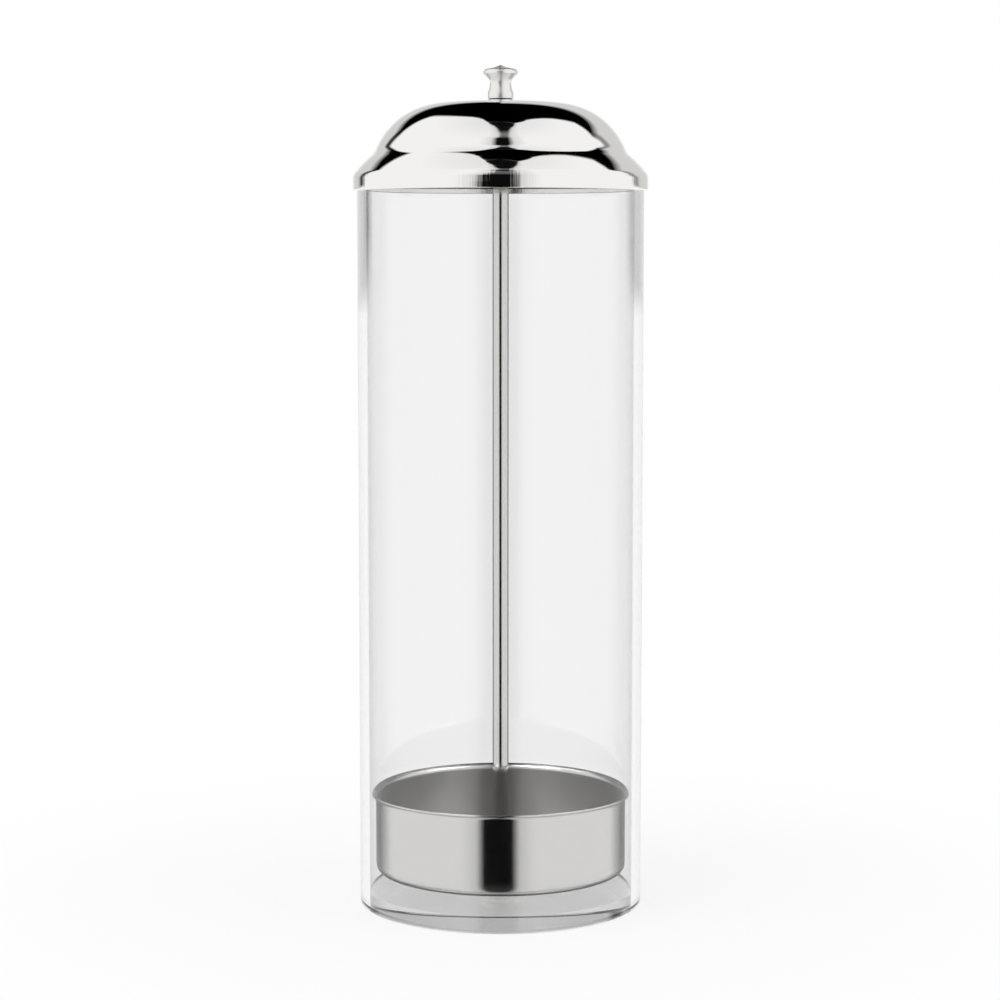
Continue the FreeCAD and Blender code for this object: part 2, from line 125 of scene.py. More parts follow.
class LidSettings(bpy.types.PropertyGroup):
    sheet: length("Sheet", "Thickness of the spun steel", 0.7)
    skirt_depth: length("Skirt depth", "Height of the upright skirt", 3.71)
    shoulder_radius: length("Shoulder radius", "Bend between the skirt and the cone", 3.37)
    shoulder_slope: angle("Shoulder slope", "Slope where the shoulder runs into the cone", 53.0)
    cone_radius: length("Cone radius", "Slight crown of the cone", 30.0)
    cone_slope: angle("Cone slope", "Slope at the top of the cone, its flattest place", 39.6)
    cove_radius: length("Cove radius", "Hollow bend between the cone and the flank", 6.5)
    flank_slope: angle("Flank slope", "Slope of the flank above the horizontal", 66.0)
    flank_run: length("Flank run", "Straight run of the flank", 0.3)
    corner_radius: length("Corner radius", "Bend from the flank into the crown", 23.202)
    crown_radius: length("Crown radius", "Bend across the crown", 117.5)
    flat_margin: length("Flat margin", "How far the flat reaches past the washer under the crown", 0.25)
    steel: colour("Steel", "Colour of the mirror polished steel", "#F7F6F4")


class KnobSettings(bpy.types.PropertyGroup):
    foot_radius: length("Foot radius", "Radius of the knob's foot", 4.0)
    foot_land: length("Foot land", "Straight height of the foot", 2.0)
    flare_radius: length("Flare radius", "Hollow of the stem above the foot", 5.5)
    waist_radius: length("Waist radius", "Smallest radius of the stem", 3.35)
    waist_length: length("Waist length", "Straight height of the waist", 0.25)
    trumpet_radius: length("Trumpet radius", "Hollow that opens out under the brim", 2.0)
    trumpet_lean: angle("Trumpet lean", "Lean of the cone that runs on from the trumpet to the brim", 45.0)
    brim_land: length("Brim land", "Straight height of the brim", 0.45)
    brim_round: length("Brim round", "Round from the brim up to the cap", 1.2)
    cap_radius: length("Cap radius", "Radius where the cap starts", 4.7)
    cap_height: length("Cap height", "Height where the cap starts", 9.15)
    cap_hollow: length("Cap hollow", "Hollow of the pointed cap", 20.0)
    tip_radius: length("Tip radius", "Radius of the rounded tip", 0.45)
    tip_drop: length("Tip drop", "Height of the rounded tip", 0.1)
    bore_radius: length("Bore radius", "Radius of the tapped bore", 2.45)
    bore_depth: length("Bore depth", "Depth of the tapped bore", 7.0)
    drill_point: angle("Drill point", "Half the angle of the point that ends the bore", 59.0)
    edge_round: length("Edge round", "Round on the foot of the knob and on the washer", 0.15)
    metal: colour("Metal", "Colour of the turned knob", "#F2F1EF")
    washer: colour("Washer", "Colour of the fibre washer under the knob", "#2A2928")


class RodSettings(bpy.types.PropertyGroup):
    thread_radius: length("Thread radius", "Radius over the crests of the thread", 2.4)
    thread_depth: length("Thread depth", "Depth of the thread", 0.38)
    thread_pitch: length("Thread pitch", "Rise of the thread in one turn", 0.8)
    lower_thread: length("Lower thread", "Length threaded at the lower end", 11.7)
    upper_thread: length("Upper thread", "Length threaded at the upper end", 15.5)
    end_chamfer: length("End chamfer", "Chamfer on both ends", 0.4)
    thread_fade: length("Thread fade", "Height over which the thread runs out", 0.35)
    plain_step: length("Plain step", "Height of the step up to the plain length", 0.05)
    metal: colour("Metal", "Colour of the ground rod", "#E9E8E6")


class CupSettings(bpy.types.PropertyGroup):
    sheet: length("Sheet", "Thickness of the drawn steel", 0.6)
    hole_radius: length("Hole radius", "Radius of the hole for the rod", 2.55)
    corner_radius: length("Corner radius", "Outside radius at the foot", 3.5)
    lip_bend: length("Lip bend", "Hollow bend under the flared lip", 1.2)
    lip_edge: length("Lip edge", "Round on the edges of the lip", 0.15)
    lip_under_turn: angle("Lip underside", "Where the bend under the lip ends, 90 being level", 97.0)
    lip_top_turn: angle("Lip top", "Where the bend over the lip ends, 90 being level", 95.0)
    steel: colour("Steel", "Colour of the satin steel", "#DFDEDD")
    fastener: colour("Fasteners", "Colour of the nuts and washers", "#D2D1CF")


class StageSettings(bpy.types.PropertyGroup):
    camera_place: FloatVectorProperty(name="Camera place", description="Where the camera stands",
                                      default=(-0.000184, -0.81987, 0.20852), subtype="TRANSLATION")
    camera_tilt: angle("Camera tilt", "How far the camera looks down", 5.5626)
    camera_lens: FloatProperty(name="Camera lens", description="Focal length on a 36 mm sensor",
                               default=93.456, unit="CAMERA")
    floor_size: length("Floor size", "Side of the square floor", 4000.0)
    floor_drop: length("Floor drop", "Gap under the clear foot", 0.2)
    floor: colour("Floor", "Colour of the pale floor", "#F4F4F3")
    lamp_size: length("Lamp size", "Side of each soft lamp", 800.0)


SETTINGS = {
    "dispenser_clear_body": ClearBodySettings,
    "dispenser_lid": LidSettings,
    "dispenser_knob": KnobSettings,
    "dispenser_rod": RodSettings,
    "dispenser_cup": CupSettings,
    "dispenser_stage": StageSettings,
}


# Sections


def straight(start, stop, steps=2):
    """Points at even steps from start to stop."""
    return np.linspace(start, stop, steps)


def bend(centre, reach, first, last, steps=24):
    """Points on an arc: the centre plus the reach times the cosine and sine of an angle that runs evenly from
    first to last, in degrees."""
    turn = np.radians(np.linspace(first, last, steps))
    return np.column_stack((centre[0] + reach * np.cos(turn), centre[1] + reach * np.sin(turn)))


def between(start, stop, reach, side, steps=24):
    """Points on the shorter arc from start to stop. Its centre lies on the chord's middle normal, to the left
    (side 1) or the right (side -1), as far off as the reach and half the chord make it."""
    start, stop = np.array(start), np.array(stop)
    chord = stop - start
    span = np.hypot(*chord)
    across = np.array((-chord[1], chord[0])) / span
    centre = (start + stop) / 2 + side * across * np.sqrt(max(reach**2 - span**2 / 4, 0))
    first = np.degrees(np.arctan2(*(start - centre)[::-1]))
    last = np.degrees(np.arctan2(*(stop - centre)[::-1]))
    last += 360 * np.round((first - last) / 360)
    return bend(centre, reach, first, last, steps)


def smooth_path(start, heading, moves, step=1.0):
    """Points and headings of a path without a crease. A move with no bend goes straight on for its length. A
    bend turns evenly to its new heading about a centre that lies its radius to the left or the right."""
    spot = np.array(start, float)
    points = []
    headings = []
    for size, turn_to in moves:
        if turn_to is None:
            ahead = np.array((np.cos(np.radians(heading)), np.sin(np.radians(heading))))
            points.append(straight(spot, spot + size * ahead, 3))
            headings.append(np.full(3, heading))
        else:
            side = np.sign(turn_to - heading)
            steps = int(abs(turn_to - heading) / step) + 4
            turned = np.linspace(heading, turn_to, steps)
            left = np.radians(heading) + side * np.pi / 2
            centre = spot + size * np.array((np.cos(left), np.sin(left)))
            away = turned - side * 90
            points.append(bend(centre, size, away[0], away[-1], steps))
            headings.append(turned)
            heading = turn_to
        spot = points[-1][-1]
    return np.concatenate(points), np.concatenate(headings)


def join(*runs):
    """One section from several runs of points, without the points that repeat."""
    points = np.concatenate([np.atleast_2d(run) for run in runs])
    moved = np.hypot(*np.diff(points, axis=0).T) > SAME_POINT
    return points[np.concatenate(([True], moved))]


# Meshes


def turned(name, section, around, closed=False, swell=None, crease=28.0):
    """A section turned about the upright axis. With u along the section and v the angle about the axis, the
    surface is (r(u) cos v, r(u) sin v, z(u)), where r may swell by a given function of v and z. The section
    is walked anticlockwise, so its faces point outwards. Rows on the axis are merged into a pole."""
    section = np.asarray(section, float)
    rows = len(section)
    v = np.linspace(0, 2 * np.pi, around, endpoint=False)[None, :]
    r = np.repeat(section[:, :1], around, axis=1)
    z = np.repeat(section[:, 1:], around, axis=1)
    if swell:
        r = r + swell(v, z) * (r > 0)
    places = np.stack((r * np.cos(v), r * np.sin(v), z), axis=-1).reshape(-1, 3)
    first = np.arange(rows if closed else rows - 1)[:, None] * around
    following = (first + around) % (rows * around)
    here = np.arange(around)[None, :]
    onward = (here + 1) % around
    corners = (first + here, first + onward, following + onward, following + here)
    faces = np.stack(corners, axis=-1).reshape(-1, 4)
    mesh = bpy.data.meshes.new(name)
    mesh.from_pydata(places, [], faces.tolist())
    welded = bmesh.new()
    welded.from_mesh(mesh)
    bmesh.ops.remove_doubles(welded, verts=welded.verts, dist=SAME_CORNER)
    welded.to_mesh(mesh)
    welded.free()
    mesh.shade_smooth()
    mesh.set_sharp_from_angle(angle=np.radians(crease))
    piece = bpy.data.objects.new(name, mesh)
    bpy.context.scene.collection.objects.link(piece)
    return piece


def dress(piece, material, body, slot_name, *nodes):
    """Gives a piece its material, stands it for its nodes and lets it ride on its body. The slot name is not
    used.
    """
    piece.data.materials.clear()
    piece.data.materials.append(material)
    if nodes:
        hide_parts(*nodes)
    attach(piece, body)


# Materials


# How far a wave texture of scale 1 turns in a metre, in radians
WAVE_TURN = 20


def add(tree, kind, settings=None, **links):
    """Adds a node, sets its properties and sockets, and links sockets to outputs of other nodes."""
    node = tree.nodes.new(kind)
    for name, value in (settings or {}).items():
        if hasattr(node, name):
            setattr(node, name, value)
        else:
            node.inputs[int(name) if name.isdigit() else name].default_value = value
    for name, output in links.items():
        key = name.lstrip("_")
        socket = node.inputs[int(key)] if key.isdigit() else node.inputs[key.replace("_", " ")]
        tree.links.new(output, socket)
    return node


def new_material(name):
    """A material with an empty tree, its output and the object's own coordinates."""
    material = bpy.data.materials.new(name)
    material.use_nodes = True
    tree = material.node_tree
    tree.nodes.clear()
    output = tree.nodes.new("ShaderNodeOutputMaterial")
    place = tree.nodes.new("ShaderNodeTexCoord").outputs["Object"]
    return material, tree, output, place


def clear_acrylic(name, tint, smoke):
    """Extruded or cast clear acrylic: water clear and glossy on the face, grey where the eye looks along it,
    and faintly wavy."""
    material, tree, output, place = new_material(name)
    along = add(tree, "ShaderNodeMapping", {"Scale": (1.0, 1.0, 0.04)}, Vector=place)
    # Waves about 9 mm wide, and far taller
    waves = add(tree, "ShaderNodeTexNoise", {"Scale": 1 / (9 * MM), "Detail": 1.0}, Vector=along.outputs[0])
    ripple = add(tree, "ShaderNodeBump", {"Strength": 0.01, "Distance": 0.02 * MM},
                 Height=waves.outputs["Fac"])
    shader = add(tree, "ShaderNodeBsdfPrincipled",
                 {"Base Color": tint, "Roughness": 0.0, "IOR": 1.49, "Transmission Weight": 1.0},
                 Normal=ripple.outputs[0])
    # Smoke is how dense the acrylic is to light. It is matched to the grey of the foot
    depth = add(tree, "ShaderNodeVolumeAbsorption", {"Color": (0.0, 0.0, 0.0, 1.0), "Density": smoke})
    tree.links.new(shader.outputs[0], output.inputs["Surface"])
    tree.links.new(depth.outputs[0], output.inputs["Volume"])
    return material


def polished_steel(name, steel, roughness=0.045, streak=0.0, skirt_top=0.0):
    """Stainless sheet, spun and buffed to a mirror. Up to skirt_top the buffing left fine upright streaks."""
    material, tree, output, place = new_material(name)
    # Buffing haze in soft patches about 12 mm across
    patches = add(tree, "ShaderNodeTexNoise", {"Scale": 1 / (12 * MM), "Detail": 3.0}, Vector=place)
    haze = add(tree, "ShaderNodeMapRange", {"To Min": roughness * 0.7, "To Max": roughness * 1.4},
               Value=patches.outputs["Fac"])
    shader = add(tree, "ShaderNodeBsdfPrincipled", {"Base Color": steel, "Metallic": 1.0},
                 Roughness=haze.outputs[0])
    if streak:
        upright = add(tree, "ShaderNodeMapping", {"Scale": (1.0, 1.0, 0.03)}, Vector=place)
        # Streaks about 0.9 mm apart with finer ones among them. Real ones are too fine to show
        lines = add(tree, "ShaderNodeTexNoise", {"Scale": 1 / (0.9 * MM), "Detail": 4.0},
                    Vector=upright.outputs[0])
        height = add(tree, "ShaderNodeSeparateXYZ", Vector=place)
        reach = add(tree, "ShaderNodeMapRange",
                    {"interpolation_type": "SMOOTHSTEP", "From Min": skirt_top,
                     "From Max": skirt_top + 3 * MM, "To Min": streak, "To Max": 0.0},
                    Value=height.outputs["Z"])
        ridges = add(tree, "ShaderNodeBump", {"Distance": 0.08 * MM}, Height=lines.outputs["Fac"],
                     Strength=reach.outputs[0])
        tree.links.new(ridges.outputs[0], shader.inputs["Normal"])
    tree.links.new(shader.outputs[0], output.inputs["Surface"])
    return material


def turned_metal(name, metal, roughness, spacing, strength):
    """Bar turned on a lathe: bright, with the rings that the tool leaves around the axis. Real ones are about
    0.1 mm apart, and these are as far apart as they need to be to show."""
    material, tree, output, place = new_material(name)
    rings = add(tree, "ShaderNodeTexWave",
                {"wave_type": "BANDS", "bands_direction": "Z", "Scale": 2 * np.pi / (WAVE_TURN * spacing),
                 "Distortion": 0.4}, Vector=place)
    groove = add(tree, "ShaderNodeBump", {"Strength": strength, "Distance": 0.01 * MM},
                 Height=rings.outputs["Fac"])
    shader = add(tree, "ShaderNodeBsdfPrincipled",
                 {"Base Color": metal, "Metallic": 1.0, "Roughness": roughness}, Normal=groove.outputs[0])
    tree.links.new(shader.outputs[0], output.inputs["Surface"])
    return material


def satin_steel(steel, bright_from):
    """Deep drawn stainless, buffed outside and dull as drawn inside, with soft upright draw marks. It is
    bright from the given distance off the axis."""
    material, tree, output, place = new_material("satin_drawn_stainless")
    upright = add(tree, "ShaderNodeMapping", {"Scale": (1.0, 1.0, 0.06)}, Vector=place)
    # Draw marks about 4 mm apart with finer ones among them, far longer than wide
    marks = add(tree, "ShaderNodeTexNoise", {"Scale": 1 / (4 * MM), "Detail": 5.0}, Vector=upright.outputs[0])
    flat = add(tree, "ShaderNodeMapping", {"Scale": (1.0, 1.0, 0.0)}, Vector=place)
    reach = add(tree, "ShaderNodeVectorMath", {"operation": "LENGTH"}, _0=flat.outputs[0])
    dull = add(tree, "ShaderNodeMapRange",
               {"From Min": bright_from - 0.2 * MM, "From Max": bright_from, "To Min": 0.28,
                "To Max": 0.06}, Value=reach.outputs["Value"])
    patches = add(tree, "ShaderNodeMath", {"operation": "MULTIPLY_ADD", "1": 0.04}, _0=marks.outputs["Fac"],
                  _2=dull.outputs[0])
    ridges = add(tree, "ShaderNodeBump", {"Strength": 0.2, "Distance": 0.02 * MM},
                 Height=marks.outputs["Fac"])
    shader = add(tree, "ShaderNodeBsdfPrincipled", {"Base Color": steel, "Metallic": 1.0},
                 Roughness=patches.outputs[0], Normal=ridges.outputs[0])
    tree.links.new(shader.outputs[0], output.inputs["Surface"])
    return material


def black_fibre(fibre):
    """Pressed vulcanised fibre: dark, matt and slightly mottled."""
    material, tree, output, place = new_material("pressed_black_fibre")
    # Fibres about 0.6 mm long
    mottle = add(tree, "ShaderNodeTexNoise", {"Scale": 1 / (0.6 * MM), "Detail": 3.0}, Vector=place)
    matt = add(tree, "ShaderNodeMapRange", {"To Min": 0.6, "To Max": 0.85}, Value=mottle.outputs["Fac"])
    grain = add(tree, "ShaderNodeBump", {"Strength": 0.3, "Distance": 0.03 * MM},
                Height=mottle.outputs["Fac"])
    shader = add(tree, "ShaderNodeBsdfPrincipled", {"Base Color": fibre}, Roughness=matt.outputs[0],
                 Normal=grain.outputs[0])
    tree.links.new(shader.outputs[0], output.inputs["Surface"])
    return material


# Pieces


class DISPENSER_OT_clear_body(bpy.types.Operator):
    """Add the clear tube and the disc bonded into its foot"""
    bl_idname = "dispenser.clear_body"
    bl_label = "Clear body"

    def execute(self, context):
        sizes = context.scene.dispenser_clear_body
        outer = radius("body_tube")
        top = level("body_tube")[1]
        floor = level("base_disc")[1]
        bore = outer - sizes.wall
        edge = sizes.edge_chamfer
        section = join(
            (bore, 0), (outer - edge, 0), (outer, edge), (outer, top - edge), (outer - edge, top),
            (bore + edge, top), (bore, top - edge),
        )
        tube = turned("clear_tube", section, CLEAR_AROUND, closed=True, crease=20.0)
        dress(tube, clear_acrylic("extruded_clear_acrylic", sizes.tint, sizes.tube_smoke), "tube",
              "clear_acrylic", "body_tube")
        rim = bore - sizes.glue_gap
        outline = join((0, 0), (rim, 0), (rim, floor), (0, floor))
        disc = turned("clear_disc", outline, CLEAR_AROUND, crease=20.0)
        dress(disc, clear_acrylic("cast_clear_acrylic", sizes.tint, sizes.disc_smoke), "tube",
              "clear_acrylic", "base_disc")
        return {"FINISHED"}


class DISPENSER_OT_lid(bpy.types.Operator):
    """Add the spun steel lid"""
    bl_idname = "dispenser.lid"
    bl_label = "Lid"

    def execute(self, context):
        sizes = context.scene.dispenser_lid
        outer = radius("dome_lid")
        foot = level("dome_lid")[0]
        sheet = sizes.sheet
        hole = context.scene.dispenser_cup.hole_radius
        flat = radius("lid_backing_washer") + sizes.flat_margin
        shoulder = np.degrees(sizes.shoulder_slope)
        cone = np.degrees(sizes.cone_slope)
        flank = np.degrees(sizes.flank_slope)
        edge = sheet / 2

        to_corner = [
            (sizes.skirt_depth - edge, None), (sizes.shoulder_radius, 180 - shoulder),
            (sizes.cone_radius, 180 - cone), (sizes.cove_radius, 180 - flank), (sizes.flank_run, None),
        ]
        path = smooth_path((outer, foot + edge), 90.0, to_corner)[0]
        corner_centre = path[-1][0] - sizes.corner_radius * np.sin(sizes.flank_slope)
        # The slope at which the corner runs into the crown, whose centre is above the end of the flat
        apart = sizes.crown_radius - sizes.corner_radius
        join_slope = np.degrees(np.arcsin((corner_centre - flat) / apart))
        to_crown = [
            (sizes.corner_radius, 180 - join_slope), (sizes.crown_radius, 180.0), (flat - hole, None),
        ]
        outside, headings = smooth_path((outer, foot + edge), 90.0, to_corner + to_crown)

        lean = np.radians(headings)[:, None]
        inside = outside + sheet * np.hstack((-np.sin(lean), np.cos(lean)))
        rim = bend((outer - edge, foot + edge), edge, 180, 360, 12)
        section = join(outside, inside[::-1], rim)[:-1]
        piece = turned("spun_lid", section, LID_AROUND, closed=True)
        steel = polished_steel("buffed_stainless", sizes.steel, streak=0.5,
                               skirt_top=foot + sizes.skirt_depth)
        dress(piece, steel, "lift", "polished_steel", "dome_lid")
        return {"FINISHED"}


class DISPENSER_OT_knob(bpy.types.Operator):
    """Add the turned knob and the fibre washer that it clamps"""
    bl_idname = "dispenser.knob"
    bl_label = "Knob and washer"

    def execute(self, context):
        sizes = context.scene.dispenser_knob
        foot, tip = level("lid_knob")
        brim = radius("lid_knob")
        land = foot + sizes.foot_land
        flare = sizes.flare_radius
        waist = land + np.sqrt(flare**2 - (flare - sizes.foot_radius + sizes.waist_radius)**2)
        trumpet = waist + sizes.waist_length
        lean = sizes.trumpet_lean
        cone = (sizes.waist_radius + sizes.trumpet_radius * (1 - np.cos(lean)),
                trumpet + sizes.trumpet_radius * np.sin(lean))
        under_brim = cone[1] + (brim - cone[0]) / np.tan(lean)
        cap = foot + sizes.cap_height
        shoulder = tip - sizes.tip_drop
        tip_round = (sizes.tip_radius**2 + sizes.tip_drop**2) / (2 * sizes.tip_drop)
        bore = sizes.bore_radius
        bore_end = foot + sizes.bore_depth
        edge = sizes.edge_round
        section = join(
            (0, bore_end + bore / np.tan(sizes.drill_point)), (bore, bore_end), (bore, foot),
            bend((sizes.foot_radius - edge, foot + edge), edge, -90, 0, 6),
            between((sizes.foot_radius, land), (sizes.waist_radius, waist), flare, -1),
            between((sizes.waist_radius, trumpet), cone, sizes.trumpet_radius, -1), (brim, under_brim),
            between((brim, under_brim + sizes.brim_land), (sizes.cap_radius, cap), sizes.brim_round, 1),
            between((sizes.cap_radius, cap), (sizes.tip_radius, shoulder), sizes.cap_hollow, -1),
            between((sizes.tip_radius, shoulder), (0, tip), tip_round, 1, 6),
        )
        section[-1, 0] = 0
        piece = turned("turned_knob", section, KNOB_AROUND)
        metal = turned_metal("turned_bright_metal", sizes.metal, roughness=0.33, spacing=1.5708 * MM,
                             strength=0.05)
        dress(piece, metal, "lift", "brushed_steel", "lid_knob")

        low, high = level("knob_seat_washer")
        rim = radius("knob_seat_washer")
        hole = context.scene.dispenser_cup.hole_radius
        ring = join((hole, low), bend((rim - edge, low + edge), edge, -90, 0, 5),
                    bend((rim - edge, high - edge), edge, 0, 90, 5), (hole, high))
        washer = turned("fibre_washer", ring, SMALL_AROUND, closed=True)
        dress(washer, black_fibre(sizes.washer), "lift", "dark_fibre", "knob_seat_washer")
        return {"FINISHED"}


class DISPENSER_OT_rod(bpy.types.Operator):
    """Add the rod with a thread cut at each end"""
    bl_idname = "dispenser.rod"
    bl_label = "Rod"

    def execute(self, context):
        sizes = context.scene.dispenser_rod
        low, high = level("centre_rod")
        plain = radius("centre_rod")
        crest = sizes.thread_radius
        chamfer = sizes.end_chamfer
        lower_end = low + sizes.lower_thread
        upper_end = high - sizes.upper_thread
        # Ten rows of corners follow each turn of the thread
        rows = 10 / sizes.thread_pitch
        # The thread's wave, whose crests and roots are cut flat
        steepness = 4.4
        root_cut = 0.6

        def thread(v, z):
            """The radius falls by the thread's depth times one less a wave. The wave is a triangle of height
            in pitches less the turn, cut flat above and below. It fades beside the plain length and at the
            ends."""
            phase = (z / sizes.thread_pitch - v / (2 * np.pi)) % 1.0
            wave = np.clip(steepness * np.abs(phase - 0.5) - root_cut, 0, 1)
            beside = np.minimum(np.abs(z - lower_end), np.abs(z - upper_end))
            plain_length = (z > lower_end) & (z < upper_end)
            ends = np.minimum(z - low, high - z) - chamfer
            fade = np.clip(np.minimum(beside, ends) / sizes.thread_fade, 0, 1)
            return -sizes.thread_depth * (1 - wave) * fade * ~plain_length

        section = join(
            (0, low), (crest - chamfer, low),
            straight((crest, low + chamfer), (crest, lower_end), int(rows * sizes.lower_thread)),
            (plain, lower_end + sizes.plain_step), (plain, upper_end - sizes.plain_step),
            straight((crest, upper_end), (crest, high - chamfer), int(rows * sizes.upper_thread)),
            (crest - chamfer, high), (0, high),
        )
        piece = turned("threaded_rod", section, SMALL_AROUND, swell=thread, crease=40.0)
        metal = turned_metal("ground_stainless_rod", sizes.metal, roughness=0.08, spacing=10.0531 * MM,
                             strength=0.03)
        dress(piece, metal, "lift", "brushed_steel", "centre_rod")
        return {"FINISHED"}


class DISPENSER_OT_cup(bpy.types.Operator):
    """Add the drawn cup with its flared lip"""
    bl_idname = "dispenser.cup"
    bl_label = "Cup"

    def execute(self, context):
        sizes = context.scene.dispenser_cup
        low, high = level("straw_cup")
        lip = radius("straw_cup")
        sheet = sizes.sheet
        corner = sizes.corner_radius
        edge = sizes.lip_edge
        under = sizes.lip_bend
        outer = lip - under
        foot = (outer - corner, low + corner)
        roll = (lip, high - sheet - under)
        under_turn = np.degrees(sizes.lip_under_turn)
        top_turn = np.degrees(sizes.lip_top_turn)
        section = join(
            (sizes.hole_radius, low), bend(foot, corner, -90, 0, 28), bend(roll, under, 180, under_turn, 20),
            bend((lip - edge, high - sheet + edge), edge, -90, 0, 6),
            bend((lip - edge, high - edge), edge, 0, 90, 6),
            bend(roll, under + sheet, top_turn, 180, 24), bend(foot, corner - sheet, 0, -90, 28),
            (sizes.hole_radius, low + sheet),
        )
        piece = turned("drawn_cup", section, CUP_AROUND, closed=True)
        dress(piece, satin_steel(sizes.steel, outer - sheet / 3), "lift", "brushed_steel", "straw_cup")
        return {"FINISHED"}


class DISPENSER_OT_fasteners(bpy.types.Operator):
    """Finish the nuts and washers that hold the lid and the cup to the rod"""
    bl_idname = "dispenser.fasteners"
    bl_label = "Nuts and washers"

    def execute(self, context):
        finish = turned_metal("machined_stainless", context.scene.dispenser_cup.fastener, roughness=0.22,
                              spacing=2.5133 * MM, strength=0.3)
        shown = [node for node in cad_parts.values() if not node.hide_render]
        for node in shown:
            node.data.materials.clear()
            node.data.materials.append(finish)
        return {"FINISHED"}


# Stage


# Edges of the white panels at some heights, all in degrees: the height above the level, then from the front
# the gap between them to the left and the right, and their back edges to the left and the right. They were
# measured from what the lid mirrors
PANEL_EDGES = (
    (0, 18, 13.5, 132, 126), (8, 12.5, 12.5, 131, 120), (20, 9, 12, 132, 121), (30, 6, 11.5, 133, 121),
    (36, 5, 11.5, 137, 118), (46, 4, 11.5, 146, 128), (48, 8, 13, 146, 131), (58, 8, 13, 141, 131),
    (60.5, 1, 11, 140, 131), (66, 0, 12.5, 138, 129), (72, 5, 18.5, 137, 124), (76, 9, 27, 134, 116),
    (80, 20, 50, 124, 88), (82, 42, 68, 106, 68), (83.5, 78, 68, 78, 68),
)

# The room's light, worked out in steps from the way that a ray leaves. A RAMP rises from 0 at its first
# number to 1 at its second
ROOM = (
    ("front", "MULTIPLY", "y", -1.0),
    ("turn", "ARCTAN2", "x", "front"),
    ("azimuth", "DEGREES", "turn"),
    ("height", "DEGREES", "rise"),
    ("aside", "ABSOLUTE", "azimuth"),
    # Degrees outside the gap in front, and inside the back edges
    ("gap_left", "MULTIPLY", "red", -180.0),
    ("gap_right", "MULTIPLY", "green", 180.0),
    ("back_left", "MULTIPLY", "blue", 180.0),
    ("back_right", "MULTIPLY", "alpha", 180.0),
    ("past_left", "SUBTRACT", "gap_left", "azimuth"),
    ("past_right", "SUBTRACT", "azimuth", "gap_right"),
    ("outside", "MAXIMUM", "past_left", "past_right"),
    ("short_left", "ADD", "azimuth", "back_left"),
    ("short_right", "SUBTRACT", "back_right", "azimuth"),
    ("inside", "MINIMUM", "short_left", "short_right"),
    # White panels, a little darker beside the gap and towards the top
    ("near", "RAMP", "outside", -3.5, 3.5),
    ("far", "RAMP", "outside", 0.0, 18.0),
    ("most", "MULTIPLY", "near", 0.72),
    ("panel", "MULTIPLY_ADD", "far", 0.28, "most"),
    ("upper", "RAMP", "height", 55.0, 80.0),
    ("level", "MULTIPLY_ADD", "upper", -0.12, 0.95),
    ("panels", "MULTIPLY", "panel", "level"),
    # What the gap itself gives back
    ("glint_on", "RAMP", "height", 6.0, 20.0),
    ("glint_off", "RAMP", "height", 48.0, 40.0),
    ("glint", "MULTIPLY", "glint_on", "glint_off"),
    ("bridge_on", "RAMP", "height", 58.0, 62.0),
    ("bridge_off", "RAMP", "height", 72.0, 66.0),
    ("bridge", "MULTIPLY", "bridge_on", "bridge_off"),
    ("dim_gap", "MULTIPLY_ADD", "glint", 0.12, 0.004),
    ("gap", "MULTIPLY_ADD", "bridge", 0.17, "dim_gap"),
    ("ahead", "MAXIMUM", "panels", "gap"),
    # Behind: a grey wall beyond a dark edge, with nothing above it
    ("on_right", "RAMP", "azimuth", -1.0, 1.0),
    ("edge_light", "MULTIPLY_ADD", "on_right", 0.36, 0.06),
    ("edge_dark", "SUBTRACT", 1.0, "edge_light"),
    ("beyond", "RAMP", "inside", -7.0, -12.0),
    ("past_edge", "MULTIPLY_ADD", "edge_dark", "beyond", "edge_light"),
    ("far_back", "RAMP", "aside", 156.0, 170.0),
    ("lowest", "RAMP", "height", 18.0, 8.0),
    ("window", "MULTIPLY", "far_back", "lowest"),
    ("wall", "MULTIPLY_ADD", "window", 0.3, 0.66),
    ("wall_top", "MULTIPLY_ADD", "on_right", 7.0, 28.0),
    ("over", "SUBTRACT", "height", "wall_top"),
    ("under_top", "RAMP", "over", 3.0, -3.0),
    ("wall_edge", "MULTIPLY", "wall", "past_edge"),
    ("behind_up", "MULTIPLY", "wall_edge", "under_top"),
    # White table below
    ("table", "RAMP", "height", 0.5, -1.5),
    ("behind", "MAXIMUM", "behind_up", "table"),
    ("within", "RAMP", "inside", -2.5, 2.5),
    ("difference", "SUBTRACT", "ahead", "behind"),
    ("open_room", "MULTIPLY_ADD", "difference", "within", "behind"),
    # What the cup and the rod mirror through the clear tube is darker behind
    ("through_tube", "COMPARE", "passes", 4.0, 0.5),
    ("back", "RAMP", "aside", 115.0, 138.0),
    ("back_loss", "MULTIPLY", "back", 0.95),
    ("loss", "MULTIPLY", "back_loss", "through_tube"),
    ("kept", "SUBTRACT", 1.0, "loss"),
    ("room", "MULTIPLY", "open_room", "kept"),
    # White where it is seen straight or through the clear body, and plain for what lights the piece
    ("seen", "MAXIMUM", "camera", "through"),
    ("plain", "MULTIPLY_ADD", "seen", 0.45, 0.55),
    ("mirrored", "GREATER_THAN", "mirrors", 0.5),
)


